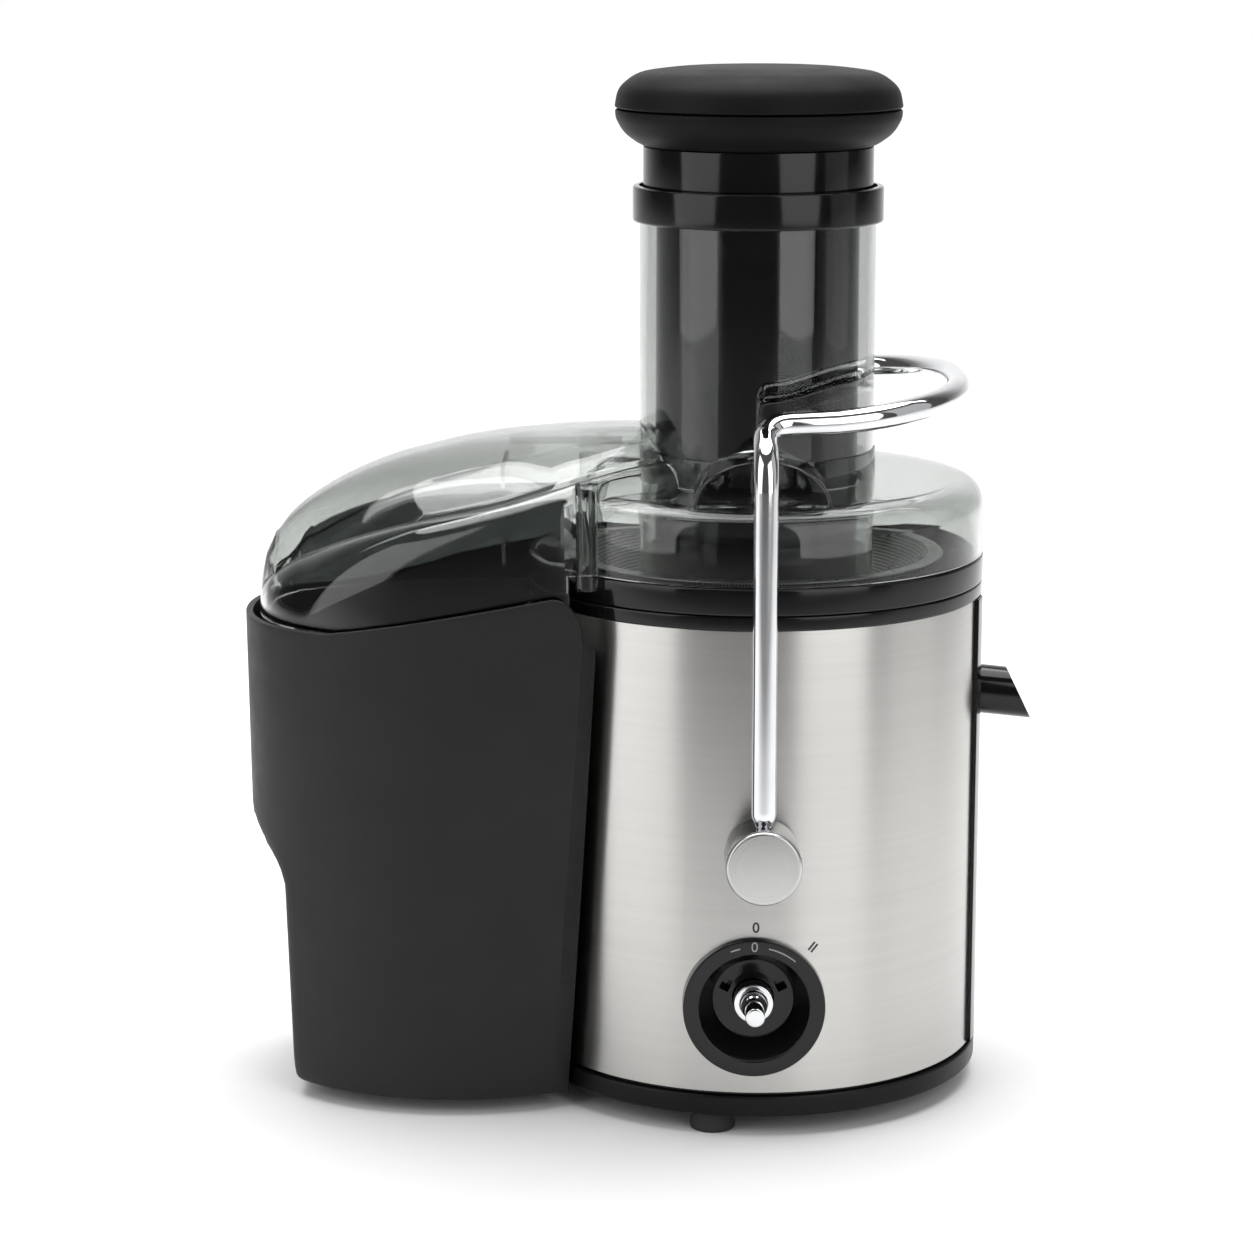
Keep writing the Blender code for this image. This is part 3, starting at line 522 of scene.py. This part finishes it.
def arch(x, inset, foot):
    """Half section of the pulp cover at x: a wall, a rounded shoulder and a shallow dome."""
    half = max(1.5, lobe_half(x - inset * max(0.0, (-90 - x) / 100)) - inset)
    crest, edge = smooth_height(CREST, x) - inset, smooth_height(SHOULDER, x) - inset * 0.8
    spread = max(0.0, min(1.0, (-100 - x) / 80))
    radius = max(0.5, min(10.0 + 14.0 * spread - inset / 2, half * 0.6, edge - 187.0))
    points = [(half, foot), (half, min(edge - radius, crest - radius - 0.4))]
    for k in range(1, 9):
        a = math.pi / 2 * k / 9
        points.append((half - radius + radius * math.cos(a), edge - radius + radius * math.sin(a)))
    for k in range(17):
        y = (half - radius) * (1 - k / 16)
        points.append((y, crest - (crest - edge) * (y / max(0.1, half - radius)) ** 1.9))
    return points


def lobe(name, inset, foot):
    """The domed pulp cover, lofted along X, drawn in by inset on every side."""
    left, right = LOBE_LEFT, -30.0
    bm = bmesh.new()
    rings = []
    for k in range(57):
        x = left + inset + (right - left - inset) * (0.002 + 0.998 * (k / 56) ** 1.8)
        side = arch(x, inset, foot)
        section = [(-y, z) for y, z in side] + side[-2::-1]
        rings.append([bm.verts.new((x, y, z)) for y, z in section])
    loft(bm, rings)
    return finish_mesh(name, bm, None)


def drum_profile(inset, foot):
    return [(0, ROOF_Z - inset), (LID_R - inset, ROOF_Z - inset, 11 - inset), (LID_R - inset, foot), (0, foot)]


def build_lid():
    cover = lathe("lid_shell", drum_profile(0, LID_Z), SMOKE)
    outer = lobe("lobe_outer", 0, 184.0)
    combine(outer, cylinder("clear", 96.5, 150, LID_Z + 0.2, steps=160))
    combine(cover, outer, "UNION")
    for turn in (TO_FRONT, TO_BACK):
        saddle = lathe("saddle", [(0, 72), (25, 72, 1.5), (25, 40), (0, 40)], None, (0, 0, ROOF_Z - 1),
                       turn @ Matrix.Scale(17 / 25, 4, (0, 1, 0)), steps=96)
        combine(saddle, block("under", (-40, -80, 200), (40, 80, ROOF_Z - 1.2)))
        combine(cover, saddle, "UNION")
    combine(cover, lathe("drum_in", drum_profile(LID_WALL, 200)))
    combine(cover, lobe("lobe_in", LID_WALL, 170))
    combine(cover, cylinder("bore", CHUTE_R + 0.01, 150, 400, steps=160))
    belongs(cover, "base", "clear_plastic", "lid")
    chute = lathe("chute_tube", [(CHUTE_IN, CHUTE_TOP), (CHUTE_R, CHUTE_TOP), (CHUTE_R, CHUTE_Z, 0.4),
                                 (CHUTE_IN, CHUTE_Z, 0.4)], CHUTE_CLEAR)
    belongs(chute, "base", "clear_plastic")
    foot = lathe("chute_foot", [(44.82, 247.5, 0.2), (45.6, 247.5, 0.3), (45.6, 236.6), (44.82, 236.6)], SMOKE)
    belongs(foot, "base", "clear_plastic")
    for side, y, top in (("front", -62.5, 243.5), ("rear", 62.5, 238.0)):
        rib = lathe(f"lid_{side}_rib", [(0, top), (4.2, top, 1.5), (4.2, 203, 0.5), (0, 203)], SMOKE,
                    (-64.5, y, 0), steps=48)
        belongs(rib, "base", "clear_plastic")
    baffle = block("lid_baffle", (-97, -26, 206), (-95.4, 26, 242), SMOKE)
    belongs(baffle, "base", "clear_plastic")
    brace = block("lid_brace", (-95, 20, 245.5), (-52, 23, 248.5), SMOKE)
    belongs(brace, "base", "clear_plastic")
    collar = lathe("collar", [(47.5, 347.0, 2.2), (47.5, 333.5, 1.2), (45.1, 333.5), (45.1, 347.0)], GLOSS)
    belongs(collar, "base", "black_plastic", "chute_collar")


def build_painted_shade_liner():
    """A dark smoky sheet lining the far side of the lobe above the bin's rim: painted shade, standing in for the dark
    bin interior seen through the lobe.
    """
    bm = bmesh.new()
    rings = []
    for k in range(61):
        t = k / 60
        x = -187.0 + 109.0 * t ** 1.6
        y = max(0.0, lobe_half(x) - 3.6)
        top = 190.0 + 33.5 * (1 - (1 - t) ** 2.6)
        rings.append([bm.verts.new((x + dx, y - dy, z)) for dx, dy, z in
                      ((0, 0, 184.5), (0, 0, top), (1.2, 1.2, top), (1.2, 1.2, 184.5))])
    loft(bm, rings)
    belongs(finish_mesh("painted_shade_liner", bm, PAINTED_SHADE_SMOKE), "base", "clear_plastic")


def build_pusher():
    inner, rest = PUSHER_R - 2.5, CHUTE_TOP + 0.3
    body = lathe("pusher_tube", [(0, PUSHER_Z + 3), (inner, PUSHER_Z + 3, 2), (inner, rest), (41, rest + 2),
                                 (41, NECK_TOP), (NECK_R, NECK_TOP, 0.4), (NECK_R, rest, 0.6), (PUSHER_R, rest),
                                 (PUSHER_R, PUSHER_Z, 3), (0, PUSHER_Z)], GLOSS)
    belongs(body, "pusher", "black_plastic", "pusher_body")
    low = lathe("cap_under", [(30, CAP_SEAM - 0.25), (CAP_R - 0.2, CAP_SEAM - 0.25, 1.0),
                              (CAP_R - 0.4, CAP_SEAM - 3.5, 3), (CAP_R - 3.4, CAP_SEAM - 9, 5),
                              (CAP_R - 8.5, NECK_TOP + 1.4, 2), (NECK_R, NECK_TOP + 0.3),
                              (30, NECK_TOP + 0.3)], MATTE)
    belongs(low, "pusher", "charcoal_plastic", "pusher_cap_lower")
    top = lathe("cap_over", [(0, CAP_TOP), (30, CAP_TOP, 12), (46, CAP_TOP - 2.2, 6), (CAP_R - 1.2, CAP_TOP - 8, 6),
                             (CAP_R, CAP_SEAM + 0.4, 1.0), (0, CAP_SEAM + 0.4)], MATTE)
    belongs(top, "pusher", "charcoal_plastic", "pusher_cap_upper")


# ---------------------------------------------------------------- pulp bin
def bin_left_limit(z):
    """How far left the bin may reach at a height: the grip is set in below."""
    t = max(0.0, min(1.0, (z - 83) / 37))
    return mix(-178.0 - 0.03 * max(0.0, z - 10), -200, t * t * (3 - 2 * t))


def bin_rim(x, end):
    """Height of the rim, which climbs towards the base and drops round its corner."""
    past = max(0.0, x - end + BIN_CORNER) / BIN_CORNER
    return 185.0 + 0.184 * max(0.0, x + 163) - BIN_CORNER_DROP * (1 - superellipse(past, 2))


def bin_outline(t):
    """The bin's plan at a share t of its height, as (x, y, rim height) round the outside and back by the base."""
    cx, reach, half, power = mix(-115, -90, t), mix(79.6, 106.5, t), mix(65.5, 72.5, t), mix(2.0, 2.3, t)
    end = mix(-78, -66, t)
    start = math.acos(min(1.0, ((end - cx) / reach) ** (power / 2)))
    near = [0.032 * (k / 16) ** 1.3 for k in range(16)]
    shares = near + [0.034 + 0.932 * k / 90 for k in range(91)] + [1 - s for s in reversed(near)]
    outer = []
    for share in shares:
        a = mix(start, 2 * math.pi - start, share)
        c, s = math.cos(a), math.sin(a)
        x = cx + math.copysign(reach * abs(c) ** (2 / power), c)
        outer.append((x, -math.copysign(half * abs(s) ** (2 / power), s), bin_rim(x, end)))
    corner = math.atan2(outer[-1][1], outer[-1][0])
    step = 2 * (math.pi - corner) / 40
    return outer + [(BIN_SADDLE_R * math.cos(corner + step * i), BIN_SADDLE_R * math.sin(corner + step * i),
                     BIN_SADDLE_Z) for i in range(41)]


def build_bin():
    levels = [0.0, 0.004, 0.012, 0.03] + [0.06 + 0.94 * i / 60 for i in range(61)]
    draw = {0.0: 0.965, 0.004: 0.978, 0.012: 0.989, 0.03: 0.997}     # drawn in to round the bottom edge
    bm = bmesh.new()
    rings = []
    for t in levels:
        ring = []
        for x, y, top in bin_outline(t):
            z = mix(BIN_FLOOR_Z, top, t)
            x = max(x, bin_left_limit(z))
            if top != BIN_SADDLE_Z:
                x, y = -120 + (x + 120) * draw.get(t, 1.0), y * draw.get(t, 1.0)
            ring.append(bm.verts.new((x, y, z)))
        rings.append(ring)
    loft(bm, rings, cap_last=False)
    body = finish_mesh("bin_shell", bm, BIN_MAT, sharp=40)
    shell = body.modifiers.new("Wall", "SOLIDIFY")
    shell.thickness, shell.offset, shell.use_even_offset = BIN_WALL * MM, -1, False
    edge = body.modifiers.new("Rim", "BEVEL")
    edge.width, edge.segments, edge.limit_method, edge.angle_limit = 0.6 * MM, 3, "ANGLE", math.radians(60)
    belongs(body, "bin", "charcoal_plastic", "pulp_bin")
    for i, (x, y) in enumerate(((-100, -27), (-100, 27), (-160, 0))):
        foot = lathe(f"bin_foot_{i + 1}", [(0, 7), (7, 7), (6, 0, 0.8), (0, 0)], BIN_MAT, (x, y, 0), steps=48)
        belongs(foot, "bin", "charcoal_plastic")


# ---------------------------------------------------------------- bail
def rounded_path(points, radius, count=12):
    """The path with each inner corner turned into a curve."""
    path = [points[0]]
    for before, corner, after in zip(points, points[1:], points[2:]):
        a, b = (before - corner).normalized() * radius, (after - corner).normalized() * radius
        path += [corner + a * (1 - k / count) ** 2 + b * (k / count) ** 2 for k in range(count + 1)]
    return path + [points[-1]]


def loop_point(degrees):
    """A point on the bail's loop, 0 at its right end and -90 at the front."""
    c, s = math.cos(math.radians(degrees)), math.sin(math.radians(degrees))
    x = LOOP_X * abs(c) ** (2 / 2.4)
    return Vector((x, math.copysign(LOOP_Y * abs(s) ** (2 / 2.4), s), LOOP_Z + 6 * (x / LOOP_X) ** 2))


def build_bail():
    stub = [Vector((0, -BAIL_Y, PIVOT_Z + h)) for h in (7.5, 14.0, 15.0, 16.0, 17.0, 18.5)]
    widths = [3.0, 3.0, 3.2, 3.7, 4.2, 4.5]
    front = rounded_path([Vector((0, -BAIL_Y, PIVOT_Z + 20)), Vector((0, -BAIL_Y, BAIL_BEND)),
                          Vector((0, -LOOP_Y, LOOP_Z)), loop_point(-74)], 10)
    half = stub + front
    path = half + [loop_point(a) for a in range(-70, 71, 2)] + [Vector((p.x, -p.y, p.z)) for p in reversed(half)]
    radii = widths + [BAIL_R] * (len(path) - 2 * len(widths)) + widths[::-1]
    rod = tube("bail_rod", path, radii, CHROME)
    belongs(rod, "bail", "chrome", "bail_wire")
    for side, turn, y in (("front", TO_FRONT, -BAIL_Y), ("rear", TO_BACK, BAIL_Y)):
        hub = lathe(f"{side}_hub_body", [(14, 106.8, 0.3), (14, 88, 0.8), (5.3, 88), (5.3, 106.8)], DARK_CHROME,
                    (0, 0, PIVOT_Z), turn, steps=96)
        combine(hub, cylinder("socket", 3.3, 6.9, 20, at=(0, y, PIVOT_Z), steps=48))
        belongs(hub, "bail", "chrome", f"{side}_hub")
        cap = lathe(f"{side}_hub_face", [(0, 108.4), (13.2, 108.4, 0.8), (13.9, 107.3, 0.4), (0, 107.1)], CAP_STEEL,
                    (0, 0, PIVOT_Z), turn, steps=96)
        belongs(cap, "bail", "brushed_steel", f"{side}_hub_cap")


# ---------------------------------------------------------------- dial
def ring_sector(name, r0, r1, z, from_deg, to_deg, mat):
    """A thin printed arc on the dial's face."""
    bm = bmesh.new()
    rows = []
    for i in range(33):
        a = math.radians(mix(from_deg, to_deg, i / 32))
        rows.append([bm.verts.new((r * math.cos(a), r * math.sin(a), h))
                     for r, h in ((r0, z), (r1, z), (r1, z - 0.1), (r0, z - 0.1))])
    loft(bm, rows)
    return finish_mesh(name, bm, mat, DIAL, TO_FRONT)


def letter(name, text, size, mat, placed, bolder=0.0):
    """A thin printed figure, lying in the XY plane of the matrix it is placed by."""
    curve = bpy.data.curves.new(name, "FONT")
    curve.body, curve.size, curve.extrude, curve.offset = text, size * MM, 0.04 * MM, bolder * MM
    curve.align_x, curve.align_y = "CENTER", "CENTER"
    obj = bpy.data.objects.new(name, curve)
    bpy.context.scene.collection.objects.link(obj)
    mesh = bpy.data.meshes.new_from_object(obj)
    bpy.data.objects.remove(obj)
    made = bpy.data.objects.new(name, mesh)
    bpy.context.scene.collection.objects.link(made)
    made.matrix_world = placed
    mesh.materials.clear()
    mesh.materials.append(mat)
    return made


def build_dial():
    knob = lathe("dial_knob", [(20.7, 2.2, 0.5), (26.4, 2.2, 0.7), (27, -17), (7.7, -17), (7.7, -DIAL_FLOOR, 0.3),
                               (15.2, -DIAL_FLOOR, 0.5)], GLOSS, DIAL, TO_FRONT, steps=128)
    for degrees in (27, 153):
        a = math.radians(degrees)
        spot = Vector((DIAL[0] + 11.4 * math.cos(a), DIAL[1] + DIAL_FLOOR, DIAL[2] + 11.4 * math.sin(a)))
        combine(knob, block("recess", spot - Vector((1.9, 5.4, 2.3)), spot + Vector((1.9, 5.4, 2.3)),
                            turn=Matrix.Rotation(-a, 4, "Y")))
    belongs(knob, "dial", "black_plastic", "dial")
    bush = lathe("dial_collar", [(5.2, -3.3, 0.4), (7.4, -3.3, 0.6), (7.4, -16.7), (5.2, -16.7)], CHROME, DIAL,
                 TO_FRONT, steps=96)
    belongs(bush, "dial", "chrome", "dial_bush")
    pin = lathe("dial_pin", [(0, 13.8), (3.6, 13.8, 0.8), (3.6, 2, 0.8), (4.9, 0.5, 0.6), (4.9, -20), (0, -20)], CHROME,
                DIAL, TO_FRONT, steps=64)
    belongs(pin, "dial", "chrome", "dial_spindle")
    belongs(ring_sector("dial_arc_left", 23.3, 23.8, 2.26, 103, 112, INK), "dial")
    belongs(ring_sector("dial_arc_right", 23.3, 23.8, 2.26, 50, 77, INK), "dial")
    top = Matrix.Translation(AXIS + Vector((DIAL[0], DIAL[1] - 2.22, DIAL[2] + 23.5)) * MM) @ TO_FRONT
    belongs(letter("dial_zero", "0", 5.4, INK, top), "dial")
    for name, text, x, z, lean in (("skin_zero", "0", -2.0, 80.6, 0), ("skin_two", "II", 19.1, 72.6, -40)):
        turn = math.asin(x / STEEL_R)
        at = AXIS + Vector((x, -(STEEL_R + 0.02) * math.cos(turn), z)) * MM
        placed = (Matrix.Translation(at) @ Matrix.Rotation(turn, 4, "Z") @ TO_FRONT
                  @ Matrix.Rotation(math.radians(lean), 4, "Z"))
        belongs(letter(name, text, 5.5, PRINT, placed, 0.1), "base")


# ---------------------------------------------------------------- CAD nodes kept inside
KEPT = {IRON: ("motor_shaft", "rotor_core", "stator_core", "lower_bearing", "upper_bearing", "lower_motor_bracket",
               "upper_motor_bracket", "front_pivot_pin", "rear_pivot_pin"),
        COPPER: ("commutator", "lower_field_winding", "upper_field_winding"),
        CARBON: ("front_brush", "rear_brush"), BOARD: ("circuit_board",),
        GREY: ("rotary_switch", "interlock_switch", "filter_capacitor", "cooling_fan", "drive_coupling"),
        RUBBER: ("shaft_seal", "motor_damper_1", "motor_damper_2", "motor_damper_3"),
        POST: ("motor_post_1", "motor_post_2", "motor_post_3")}


def dress_kept_nodes():
    """Give the inner CAD nodes, whose shapes stay, a finish and softened edges."""
    for mat, names in KEPT.items():
        for name in names:
            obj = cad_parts[name]
            obj.data.materials.clear()
            obj.data.materials.append(mat)
            weld = obj.modifiers.new("Weld", "WELD")
            weld.merge_threshold = 0.00001
            edge = obj.modifiers.new("Edge", "BEVEL")
            edge.width, edge.segments, edge.limit_method = 0.15 * MM, 2, "ANGLE"
            edge.angle_limit = math.radians(40)


# ---------------------------------------------------------------- studio
def panel_light(name, at, aim, wide, tall, radiance, shape="RECTANGLE"):
    """A soft panel that looks equally bright whatever its size."""
    light = bpy.data.lights.new(name, "AREA")
    light.shape, light.size, light.size_y = shape, wide, tall
    light.energy = radiance * math.pi * wide * tall
    obj = bpy.data.objects.new(name, light)
    obj.location = at
    obj.rotation_euler = (aim - at).to_track_quat("-Z", "Y").to_euler()
    bpy.context.scene.collection.objects.link(obj)


def build_studio():
    """A paper sweep under and behind the object, three side panels, a top panel and one for the wall."""
    front, back, bend, height = -2.6, 2.2, 1.2, 5.0            # the sweep, in metres
    bm = bmesh.new()
    path = [(front, 0.0), (back, 0.0)]
    path += [(back + bend * math.sin(a), bend - bend * math.cos(a))
             for a in (math.pi / 2 * k / 16 for k in range(1, 17))]
    path += [(back + bend, height)]
    rows = [[bm.verts.new((x, y, z)) for y, z in path] for x in (-6.0, 6.0)]
    for k in range(len(path) - 1):
        bm.faces.new((rows[0][k], rows[1][k], rows[1][k + 1], rows[0][k + 1]))
    mesh = bpy.data.meshes.new("sweep")
    bm.to_mesh(mesh)
    bm.free()
    mesh.polygons.foreach_set("use_smooth", [True] * len(mesh.polygons))
    sweep = bpy.data.objects.new("sweep", mesh)
    bpy.context.scene.collection.objects.link(sweep)
    s = Shader("paper_sweep", Specular_IOR_Level=0.2)
    # Painted shade: the paper is painted grey towards the front, standing in for an unlit room there, so that the
    # blacks have something dark to mirror.
    along_y = s.node("ShaderNodeSeparateXYZ", Vector=s.coord).outputs["Y"]
    pale = s.node("ShaderNodeMapRange", Value=along_y, From_Min=-0.95, From_Max=-0.40)
    s.colours(pale.outputs["Result"], (0.28, 0.28, 0.28), (0.90, 0.90, 0.90), 0.0, 1.0)
    s.rough(s.noise(40.0), 0.65, 0.8)
    mesh.materials.append(s.mat)

    world = bpy.data.worlds.new("studio")
    world.use_nodes = True
    background = world.node_tree.nodes["Background"]
    background.inputs["Color"].default_value = (1.0, 1.0, 1.0, 1.0)
    background.inputs["Strength"].default_value = 0.085
    bpy.context.scene.world = world
    aim = Vector((0.04, 0.0, 0.20))
    # name, azimuth from the front towards +X, distance, height, width and height of the panel, radiance
    for name, azimuth, far, high, wide, tall, radiance in (("left_box", -62, 1.7, 0.75, 1.45, 2.0, 1.75),
                                                           ("right_box", 37, 1.7, 0.75, 1.2, 2.0, 1.9),
                                                           ("side_box", 82, 1.7, 0.75, 1.0, 2.0, 0.45)):
        a = math.radians(azimuth)
        panel_light(name, Vector((aim.x + far * math.sin(a), -far * math.cos(a), high)), aim, wide, tall, radiance)
    panel_light("top", Vector((0.0, 0.35, 1.9)), Vector((0.0, 0.3, 0.0)), 2.4, 2.0, 3.3, "ELLIPSE")
    panel_light("wall", Vector((0.0, 1.2, 2.6)), Vector((0.0, 3.4, 0.9)), 4.5, 1.6, 3.0)
    bpy.context.scene.view_settings.view_transform = "Standard"


def build_camera():
    """The photograph's view: level across, 11.6 degrees down."""
    data = bpy.data.cameras.new("view")
    data.sensor_width, data.lens = 36.0, 101.0
    data.clip_start, data.clip_end = 0.05, 30.0
    camera = bpy.data.objects.new("view", data)
    camera.location = (-0.0051, -1.336, 0.4506)
    camera.rotation_euler = (math.radians(90 - 11.6), 0, 0)
    bpy.context.scene.collection.objects.link(camera)
    bpy.context.scene.camera = camera


build_base()
build_bowl()
build_basket()
build_lid()
build_painted_shade_liner()
build_pusher()
build_bin()
build_bail()
build_dial()
dress_kept_nodes()
build_studio()
build_camera()
bpy.context.view_layer.update()
